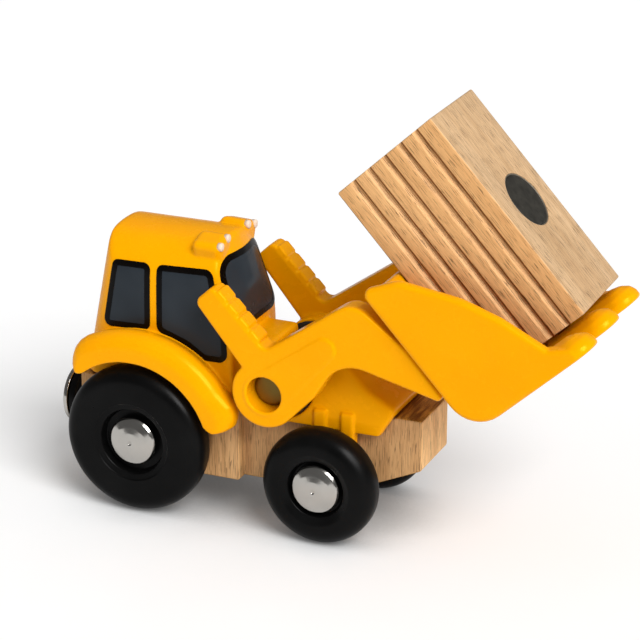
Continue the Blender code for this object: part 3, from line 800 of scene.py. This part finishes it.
def make_arm(sign, side):
    """One arm with its handle, boss and pads, and the low band from round the hole to the arm's crank."""
    arm = prism(arm_outline(), *side_span(sign, 12.2, 17.2), 0.85, 3)
    for k in range(PAD_COUNT):
        add(arm, finger_pad(k, sign))
    low_y, high_y = side_span(sign, 8.8, 13.0)
    add(arm, drum((PIVOT[0], low_y, PIVOT[1]), (PIVOT[0], high_y, PIVOT[1]), BOSS_R, 72))
    tip = (42.6, 42.4)
    lean = math.degrees(math.atan2(tip[1] - PIVOT[1], tip[0] - PIVOT[0]))
    outline = arc(tip, 2.3, lean - 90, lean + 90, 16) + arc(PIVOT, 4.4, lean + 70, lean + 290, 24)
    band = prism(outline, *side_span(sign, 16.2, 17.55))
    for vert in band.data.vertices:
        if abs(vert.co.y) > 17:
            away = Vector((vert.co.x - PIVOT[0], vert.co.z - PIVOT[1])).length
            vert.co.y -= sign * 0.3 * max(0.0, 1 - away / 15)
    add(arm, band)
    cut(arm, drum((PIVOT[0], sign * 12.4, PIVOT[1]), (PIVOT[0], sign * BORE, PIVOT[1]), 3.75, 72))
    cut(arm, drum((PIVOT[0], -BORE, PIVOT[1]), (PIVOT[0], BORE, PIVOT[1]), 2.8, 48))
    melt(arm, voxel=0.22, rounds=3)
    arm.name = "arm_shell_" + side
    piece(arm, "loader", YELLOW, "yellow_plastic", "loader_arm_" + side)


ALONG = Vector((math.cos(TILT), math.sin(TILT)))
UPRIGHT = Vector((-math.sin(TILT), math.cos(TILT)))
HEEL = Vector((73.6, 30.1))             # where the bucket's floor and back wall would meet
FLOOR_U = -0.35                         # the underside of the bucket's floor, measured up from the heel
BUCKET_HALF = 18.3
TEETH_PITCH = 14.0


def in_bucket(a, u):
    """A point a along the bucket floor and u up from it."""
    return tuple(HEEL + ALONG * a + UPRIGHT * u)


def tooth(middle):
    """A finger of the bucket's lip: flat below, domed above, with a half-round end."""
    side, end = 4.3, 31.1
    section = soft_path([(0, FLOOR_U + 0.05, 0), (side, FLOOR_U + 0.05, 0.5), (side, 1.2, 0.6),
                         (3.7, 2.5, 1.0), (2.2, 3.6, 2.0), (0, 4.25, 0)], 4)
    place = Matrix(((ALONG.x, 0, UPRIGHT.x, HEEL.x), (0, 1, 0, middle), (ALONG.y, 0, UPRIGHT.y, HEEL.y),
                    (0, 0, 0, 1)))
    tip = lathe(section, place @ Matrix.Translation((end - side, 0, 0)), 64)
    across = section + [(-y, u) for y, u in reversed(section[1:-1])]
    stem = prism(across, -(end - side), -16.0)
    stem.data.transform(place @ Matrix.Rotation(math.pi / 2, 4, "Z"))
    return combine(tip, stem, "UNION")


def make_bucket():
    """The bucket's shell, a thick flank beside each outer tooth, and three teeth."""
    outer = filleted([(*in_bucket(0, FLOOR_U), 7.0), (*in_bucket(24.0, FLOOR_U), 0),
                      (*in_bucket(24.0, 4.6), 1.6), (79.0, 54.3, 12.0), (70.8, 57.1, 14.0),
                      (58.0, 59.0, 5.0), (*in_bucket(1.2, 34.5), 1.6), (*in_bucket(0, 33.2), 1.2)], 8)
    hollow = filleted([(*in_bucket(3.4, 2.2), 4.0), (*in_bucket(36, 2.2), 0), (*in_bucket(36, 60), 0),
                       (*in_bucket(-8, 60), 0), (*in_bucket(-8, 33.0), 0), (*in_bucket(3.4, 33.0), 1.5)], 8)
    bucket = prism(outer, -BUCKET_HALF, BUCKET_HALF, 0.95, 4)
    cut(bucket, prism(hollow, -16.4, 16.4))
    flank = filleted([(*in_bucket(15.0, FLOOR_U + 0.05), 0), (*in_bucket(28.4, FLOOR_U + 0.05), 0.8),
                      (*in_bucket(28.4, 1.9), 1.4), (*in_bucket(23.8, 4.6), 3.0),
                      (*in_bucket(20.0, 6.4), 0), (*in_bucket(15.0, 6.4), 0)], 8)
    for sign in (-1, 1):
        add(bucket, prism(flank, *side_span(sign, 14.6, BUCKET_HALF), 0.9, 4))
    for k in (-1, 0, 1):
        add(bucket, tooth(TEETH_PITCH * k))
    melt(bucket, voxel=0.22, rounds=5)
    bucket.name = "bucket_shell"
    piece(bucket, "loader", YELLOW, "yellow_plastic", "bucket")


# ---------------------------------------------------------------- chassis and load

# the screws that come up through the chassis: node, place along it, height of the tip
SCREWS = (("body_screw_rear", -8.0, 32.0), ("body_screw_front", 12.0, 32.0), ("nose_screw", 49.0, 29.6))


def underside(x):
    """Height of the chassis's underside, which ramps up towards the nose."""
    return UNDERSIDE + max(0.0, x - RAMP_START) * RAMP_RISE / (NOSE_X - RAMP_START)


def make_chassis():
    """The wooden base: wide behind, narrow from ahead of the cab, with a ramp, and bored for hardware."""
    back_x, top, waist_x = -15.3, 26.2, 20.8
    side = filleted([(back_x, UNDERSIDE, 0.8), (RAMP_START, UNDERSIDE, 2.0),
                     (NOSE_X, underside(NOSE_X), 1.0), (NOSE_X, top, 0.6), (back_x, top, 0.6)], 4)
    body = prism(side, -10.4, 10.4)
    for sign in (-1, 1):
        low_y, high_y = side_span(sign, 7.4, 14)
        cut(body, block((waist_x, low_y, 0), (70, high_y, 40)))
    ease_edges(body, 0.45, 3)
    for x, z in ((0, REAR_R), (WHEELBASE, FRONT_R)):
        cut(body, drum((x, -BORE, z), (x, BORE, z), 2.0, 40))
    for x in [row[1] for row in SCREWS]:
        low = underside(x)
        cut(body, drum((x, 0, low - 4), (x, 0, low + 6.0), 3.2, 48))
        cut(body, drum((x, 0, low + 5.5), (x, 0, 40), 1.6, 32))
    cut(body, drum((-17.3, 0, COUPLING_Z), (-9.0, 0, COUPLING_Z), 1.4, 32))
    body.name = "chassis_block"
    piece(body, "chassis_body", CHASSIS_WOOD, "beech", "chassis", sharp=30)


def block_frame():
    """Where the load's own axes (long, wide, deep) stand in the toy's millimetres."""
    corner = in_bucket(3.7, 5.1)
    long_axis = Vector((UPRIGHT.x, 0, UPRIGHT.y))
    deep_axis = Vector((ALONG.x, 0, ALONG.y))
    turn = Matrix((long_axis, Vector((0, 1, 0)), deep_axis)).transposed().to_4x4()
    return Matrix.Translation((corner[0], -7.0, corner[1])) @ turn


LONG, WIDE, DEEP = 47.2, 22.9, 25.8     # the load's own size
GROOVES = 5


def make_load():
    """The loose block with its grooves, the metal disc in its top, and the bright rim round the disc."""
    body = block((0, 0, 0), (LONG, WIDE, DEEP), 0.35, 3)
    for k in range(1, GROOVES + 1):
        z = DEEP / (GROOVES + 1) * k
        groove = filleted([(z - 1.5, -0.6, 0), (z, 0.95, 0.25), (z + 1.3, -0.6, 0)], 4)
        channel = prism(groove, -3, LONG + 3)
        channel.data.transform(Matrix(((0, 1, 0, 0), (0, 0, 1, 0), (1, 0, 0, 0), (0, 0, 0, 1))))
        cut(body, channel)
    x, y = LONG / 2, WIDE / 2
    cut(body, drum((x, y, DEEP - 2.4), (x, y, DEEP + 3), 6.02, 96))
    ease_edges(body, 0.1, 2)
    middle = Matrix.Translation((x, y, 0))
    coin = soft_path([(0, DEEP - 0.12, 0), (5.6, DEEP - 0.12, 0.2), (5.72, DEEP - 0.3, 0.1),
                      (5.72, DEEP - 2.1, 0)])
    coin.append((0, DEEP - 2.1))
    ring = [(5.76, DEEP - 0.3), (5.84, DEEP - 0.1), (5.96, DEEP - 0.08), (6.0, DEEP - 0.2),
            (6.0, DEEP - 2.2), (5.76, DEEP - 2.2), (5.76, DEEP - 0.3)]
    for obj, name, paint, slot, nodes, sharp in (
            (body, "load_block", BLOCK_WOOD, "beech", ("cargo_block",), 35),
            (lathe(coin, middle), "load_disc", DISC, "dark_disc", ("cargo_disc",), 50),
            (lathe(ring, middle), "load_disc_rim", RIM_STEEL, "dark_disc", (), 50)):
        obj.name = name
        placed_block(obj, paint, nodes, sharp)


def placed_block(obj, paint, nodes, sharp):
    """As piece(), but the object keeps the load's own axes, so that the grain runs along the block."""
    obj.data.transform(Matrix.Scale(MM, 4))
    where = block_frame()
    place = Matrix.Translation(where.translation * MM + Vector((AXLE_X, 0, 0)))
    obj.matrix_world = place @ where.to_3x3().to_4x4()
    bpy.context.view_layer.update()
    dress(obj, "cargo", paint, nodes, sharp)


# ---------------------------------------------------------------- wheels

def rear_wheel_path():
    """Section of a rear wheel as (radius, distance out): sunk hub, shallow step, flat face, round tread."""
    half, radius = TYRE_HALF, REAR_R - 0.15
    return soft_path([(2.0, 1.2, 0), (6.7, 1.2, 0.3), (7.1, half - 0.5, 0.3), (8.2, half - 0.22, 0.3),
                      (8.45, half, 0.15), (radius, half, 3.2), (radius, -half, 3.0), (2.0, -half, 0),
                      (2.0, 1.2, 0)], 12)


def front_wheel_path():
    """Section of a front wheel: a sunk hub with a sloping wall, a narrow face and a round tread."""
    half = TYRE_HALF
    return soft_path([(2.0, 1.2, 0), (5.7, 1.2, 0.3), (6.05, half - 0.9, 0.4), (7.6, half - 0.05, 1.2),
                      (8.4, half, 0), (FRONT_R, half, 3.5), (FRONT_R, -half, 2.8), (2.0, -half, 0),
                      (2.0, 1.2, 0)], 12)


def cap_path():
    """A pressed dome with a small dimple at its middle, a faint step near its rim, and a socket behind."""
    return soft_path([(0, 1.45, 0), (0.25, 1.47, 0.1), (0.45, 1.66, 0.2), (0.9, 1.72, 0.5), (2.0, 1.6, 4.0),
                      (3.5, 1.2, 3.0), (4.6, 0.72, 0.6), (4.8, 0.6, 0.3), (5.15, 0.15, 0.3),
                      (5.2, -0.25, 0.1), (2.0, -0.3, 0), (2.0, 0.65, 0), (0, 0.65, 0)], 5)


def make_wheels():
    """Four wheels that turn, and the caps on the ends of the axles, which don't."""
    for end, x, radius, path in (("rear", 0.0, REAR_R, rear_wheel_path()),
                                 ("front", WHEELBASE, FRONT_R, front_wheel_path())):
        for sign, side in SIDES:
            label = end + "_" + side
            wheel = lathe(path, outward(sign, x, sign * TYRE_MID_Y, radius), 144)
            wheel.name = "tyre_" + label
            piece(wheel, "wheel_" + label + "_body", BLACK, "black_plastic", "wheel_" + label, sharp=35)
            cap = lathe(cap_path(), outward(sign, x, sign * 17.0, radius), 96)
            cap.name = "hub_cap_" + label
            piece(cap, "chassis_body", NICKEL, "nickel", "cap_" + label, sharp=40)


# ---------------------------------------------------------------- pivot, coupling, hardware

def make_pivot():
    """The pin with a head at each end, and a friction washer beside each arm's boss."""
    head, shank = 3.5, 2.5
    path = soft_path([(0, 13.8, 0), (3.1, 13.75, 1.0), (head, 13.5, 0.25), (head, 12.7, 0),
                      (shank, 12.7, 0), (shank, -12.7, 0), (head, -12.7, 0), (head, -13.5, 0.25),
                      (3.1, -13.75, 1.0), (0, -13.8, 0)])
    pin = lathe(path, outward(1, PIVOT[0], 0, PIVOT[1]), 64)
    pin.name = "pivot_pin_steel"
    piece(pin, "loader", PIN_STEEL_WARMED_BY_PAINTED_BOUNCE, "steel", "pivot_pin", sharp=40)
    ring = [(3.1, 0.5), (6.6, 0.5), (6.8, 0.3), (6.8, -0.3), (6.6, -0.5), (3.1, -0.5), (3.1, 0.5)]
    for sign, side in SIDES:
        washer = lathe(ring, outward(sign, PIVOT[0], sign * 8.0, PIVOT[1]), 72)
        washer.name = "washer_" + side
        piece(washer, "chassis_body", RUBBER, "black_rubber", "friction_washer_" + side, sharp=40)


def backward(x):
    """Places a lathed shape on the coupling's axis, pointing to the rear."""
    return Matrix.Translation((x, 0, COUPLING_Z)) @ Matrix.Rotation(-math.pi / 2, 4, "Y")


def make_coupling():
    """A black cup with a waist, and the bright magnet ring behind it."""
    cup = soft_path([(1.7, 0, 0), (6.1, 0, 0.3), (6.1, 2.2, 0.3), (5.7, 2.6, 0.3), (5.7, 3.6, 0.3),
                     (6.1, 4.0, 0.3), (6.1, 5.4, 0.4), (1.7, 5.4, 0), (1.7, 0, 0)])
    housing = lathe(cup, backward(-15.6))
    housing.name = "coupling_cup"
    piece(housing, "chassis_body", BLACK, "black_plastic", "coupling_housing", sharp=40)
    ring = soft_path([(2.7, 0, 0), (6.1, 0, 0.2), (6.1, 1.0, 0.35), (2.7, 1.0, 0.3), (2.7, 0, 0)])
    magnet = lathe(ring, backward(-21.3))
    magnet.name = "coupling_ring"
    piece(magnet, "chassis_body", NICKEL, "nickel", "coupling_magnet", sharp=40)


def screw(name, node, matrix, length):
    """A pan-head screw with a cross recess. The head points along the matrix's +Z, the tip away from it."""
    head = lathe(soft_path([(0, 1.0, 0), (1.7, 0.9, 2.0), (2.4, 0.45, 0.4), (2.5, 0, 0.1), (1.05, 0, 0),
                            (1.05, -length + 1.4, 0), (0, -length, 0)], 5), Matrix.Identity(4), 48)
    for turn in (0, math.pi / 2):
        slot = block((-1.25, -0.22, 0.35), (1.25, 0.22, 2.0))
        slot.data.transform(Matrix.Rotation(turn, 4, "Z"))
        cut(head, slot)
    head.data.transform(matrix)
    head.name = name
    piece(head, "chassis_body", STEEL, "steel", node, sharp=35)


def make_screws():
    """Three screws with their heads up in the chassis's counterbores, and one through the coupling."""
    head_sunk = 5.7
    for node, x, tip in SCREWS:
        seat = underside(x) + head_sunk
        head_down = Matrix.Translation((x, 0, seat)) @ Matrix.Rotation(math.pi, 4, "X")
        screw(node + "_steel", node, head_down, tip - seat)
    screw("coupling_screw_steel", "coupling_screw", backward(-21.3), 9.0)


def dress_axles():
    """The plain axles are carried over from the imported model, in steel."""
    for node in ("rear_axle", "front_axle"):
        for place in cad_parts[node].material_slots:
            place.material = STEEL


# ---------------------------------------------------------------- stage

def make_stage():
    """White paper with a painted shadow close round the toy, bright to the eye and dimmer in reflections.
    """
    bpy.ops.mesh.primitive_plane_add(size=12, location=(0, 0, 0))
    floor = bpy.context.object
    floor.name = "floor"
    p = Paint("floor_paper")
    path = p.node("ShaderNodeLightPath")
    paper = p.ramp(p.spot(3, detail=2), (0.3, (0.94, 0.94, 0.94)), (0.7, (0.96, 0.96, 0.96)))
    # painted shadow: an ambient occlusion mask darkens the paper under and round the toy
    near = p.node("ShaderNodeAmbientOcclusion", Distance=0.022)
    near.samples = 8
    painted_shadow = p.ramp(near.outputs["AO"], (0.15, (0.30, 0.30, 0.30)), (0.70, WHITE))
    paper = p.blend(1.0, paper, painted_shadow, "MULTIPLY")
    p.colour(p.blend(path.outputs["Is Glossy Ray"], paper, (0.62, 0.62, 0.62)))
    p.roughness(p.span(p.spot(40), 0.3, 0.7, 0.8, 0.95))
    p.bump(p.spot(900), 0.02, 0.0001)
    p.shader.inputs["Emission Color"].default_value = (*WHITE, 1.0)
    p.link(p.maths("MULTIPLY", path.outputs["Is Camera Ray"], 0.08), p.shader.inputs["Emission Strength"])
    floor.data.materials.append(p.material)


def make_light():
    """An even white room seen dim in reflections, a soft key light from ahead, the right and above, and a
    low fill light from ahead that reflections don't show."""
    world = bpy.data.worlds.new("studio")
    bpy.context.scene.world = world
    world.use_nodes = True
    tree = world.node_tree
    back = tree.nodes["Background"]
    back.inputs["Color"].default_value = (*WHITE, 1.0)
    path = tree.nodes.new("ShaderNodeLightPath")
    level = tree.nodes.new("ShaderNodeMapRange")
    level.inputs["To Min"].default_value = 0.46
    level.inputs["To Max"].default_value = 0.10
    tree.links.new(path.outputs["Is Glossy Ray"], level.inputs["Value"])
    tree.links.new(level.outputs["Result"], back.inputs["Strength"])
    for name, energy, spread, towards, in_reflections in (
            ("key", 2.45, 32, (0.60, -0.45, 0.66), True),
            ("fill", 0.45, 60, (0.93, -0.20, 0.30), False)):
        sun = bpy.data.lights.new(name, "SUN")
        sun.energy = energy
        sun.angle = math.radians(spread)
        lamp = bpy.data.objects.new(name, sun)
        bpy.context.scene.collection.objects.link(lamp)
        lamp.rotation_euler = Vector(towards).to_track_quat("Z", "Y").to_euler()
        lamp.visible_glossy = in_reflections
    bpy.context.scene.view_settings.view_transform = "Standard"


def make_camera():
    """Long lens from the toy's right, a little ahead of square, looking down about 21 degrees."""
    azimuth, elevation = math.radians(23.21), math.radians(20.75)
    back = Vector((math.sin(azimuth) * math.cos(elevation), -math.cos(azimuth) * math.cos(elevation),
                   math.sin(elevation)))
    right = Vector((math.cos(azimuth), math.sin(azimuth), 0))
    up = back.cross(right)
    across, above, away = 31.63, 34.0, 532.52
    where = (right * across + up * above + back * away) * MM
    data = bpy.data.cameras.new("camera")
    data.lens = 140.6
    data.sensor_width = 36
    data.clip_start = 0.01
    camera = bpy.data.objects.new("camera", data)
    bpy.context.scene.collection.objects.link(camera)
    turn = Matrix((right, up, back)).transposed().to_4x4()
    camera.matrix_world = Matrix.Translation(where + Vector((AXLE_X, 0, 0))) @ turn
    bpy.context.scene.camera = camera


def main():
    cab, bare = make_cab()
    make_windows(bare)
    bpy.data.objects.remove(bare)
    make_lamp_dots()
    cab.name = "cab_shell"
    piece(cab, "chassis_body", YELLOW, "yellow_plastic", "cab_body")
    make_nose()
    for sign, side in SIDES:
        make_arm(sign, side)
    make_bucket()
    make_chassis()
    make_load()
    make_wheels()
    make_pivot()
    make_coupling()
    make_screws()
    dress_axles()
    make_stage()
    make_light()
    make_camera()


main()
